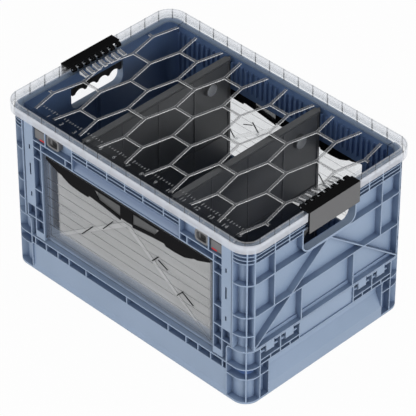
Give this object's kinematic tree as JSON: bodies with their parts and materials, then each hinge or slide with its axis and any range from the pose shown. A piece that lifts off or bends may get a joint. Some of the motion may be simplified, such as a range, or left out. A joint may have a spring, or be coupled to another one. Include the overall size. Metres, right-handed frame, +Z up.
{
  "type": "collapsible crate",
  "caption": "Folding plastic crate with a clear honeycomb lid, drop-down window doors, lid and wall latches, and lift-out dividers for papers and keepsakes.",
  "frame": {"origin": "centre of the footprint, on the ground", "axes": "+Z up, +X along the crate's long side to the right end, -Y towards the front window"},
  "size_m": [0.622, 0.424, 0.365],
  "materials": {
    "blue_plastic": "grey-blue moulded polypropylene with a satin gloss",
    "clear_plastic": "clear moulded plastic",
    "black_plastic": "black moulded plastic",
    "black_rubber": "soft black grip",
    "grey_plastic": "mid grey moulded plastic",
    "dark_grey_plastic": "dark grey moulded plastic",
    "red_print": "red print",
    "steel_pin": "plain steel rod"
  },
  "bodies": {
    "crate": {"base_tray": "blue_plastic", "front_wall": "blue_plastic", "rear_wall": "blue_plastic", "left_end_wall": "blue_plastic", "right_end_wall": "blue_plastic", "front_hinge_pins": "blue_plastic", "rear_hinge_pins": "blue_plastic", "left_hinge_pins": "blue_plastic", "right_hinge_pins": "blue_plastic", "left_hand_grip": "black_rubber", "right_hand_grip": "black_rubber"},
    "left_divider_body": {"left_divider": "dark_grey_plastic"},
    "right_divider_body": {"right_divider": "dark_grey_plastic"},
    "lid_body": {"lid": "clear_plastic", "left_latch_pin": "steel_pin", "right_latch_pin": "steel_pin"},
    "left_lid_latch_body": {"left_lid_latch": "black_plastic"},
    "right_lid_latch_body": {"right_lid_latch": "black_plastic"},
    "front_door_body": {"front_door": "clear_plastic", "front_door_catch": "black_plastic"},
    "rear_door_body": {"rear_door": "clear_plastic", "rear_door_catch": "black_plastic"},
    "front_left_latch_body": {"front_left_latch": "grey_plastic", "front_left_latch_mark": "red_print"},
    "front_right_latch_body": {"front_right_latch": "grey_plastic", "front_right_latch_mark": "red_print"},
    "rear_left_latch_body": {"rear_left_latch": "grey_plastic", "rear_left_latch_mark": "red_print"},
    "rear_right_latch_body": {"rear_right_latch": "grey_plastic", "rear_right_latch_mark": "red_print"}
  },
  "joints": [
    {"name": "divider_lift", "type": "slide", "parent": "crate", "child": "left_divider_body", "axis": [0, 0, 1], "range_m": [0, 0.36]},
    {"name": "right_divider_lift", "type": "slide", "parent": "crate", "child": "right_divider_body", "axis": [0, 0, 1], "range_m": [0, 0.36]},
    {"name": "lid_lift", "type": "slide", "parent": "left_divider_body", "child": "lid_body", "axis": [0, 0, 1], "range_m": [0, 0.15]},
    {"name": "left_lid_latch_turn", "type": "hinge", "parent": "lid_body", "child": "left_lid_latch_body", "pos_m": [-0.285, 0, 0.36], "axis": [0, 1, 0], "range_deg": [0, 100]},
    {"name": "right_lid_latch_turn", "type": "hinge", "parent": "lid_body", "child": "right_lid_latch_body", "pos_m": [0.285, 0, 0.36], "axis": [0, -1, 0], "range_deg": [0, 100]},
    {"name": "front_door_drop", "type": "hinge", "parent": "crate", "child": "front_door_body", "pos_m": [0, -0.197, 0.0905], "axis": [1, 0, 0], "range_deg": [0, 100]},
    {"name": "rear_door_drop", "type": "hinge", "parent": "crate", "child": "rear_door_body", "pos_m": [0, 0.197, 0.0905], "axis": [-1, 0, 0], "range_deg": [0, 100]},
    {"name": "front_left_latch_slide", "type": "slide", "parent": "crate", "child": "front_left_latch_body", "axis": [1, 0, 0], "range_m": [0, 0.022]},
    {"name": "front_right_latch_slide", "type": "slide", "parent": "crate", "child": "front_right_latch_body", "axis": [-1, 0, 0], "range_m": [0, 0.022]},
    {"name": "rear_left_latch_slide", "type": "slide", "parent": "crate", "child": "rear_left_latch_body", "axis": [1, 0, 0], "range_m": [0, 0.022]},
    {"name": "rear_right_latch_slide", "type": "slide", "parent": "crate", "child": "rear_right_latch_body", "axis": [-1, 0, 0], "range_m": [0, 0.022]}
  ],
  "couplings": [
    {"joint": "right_divider_lift", "follows": "divider_lift", "ratio": 1}
  ]
}
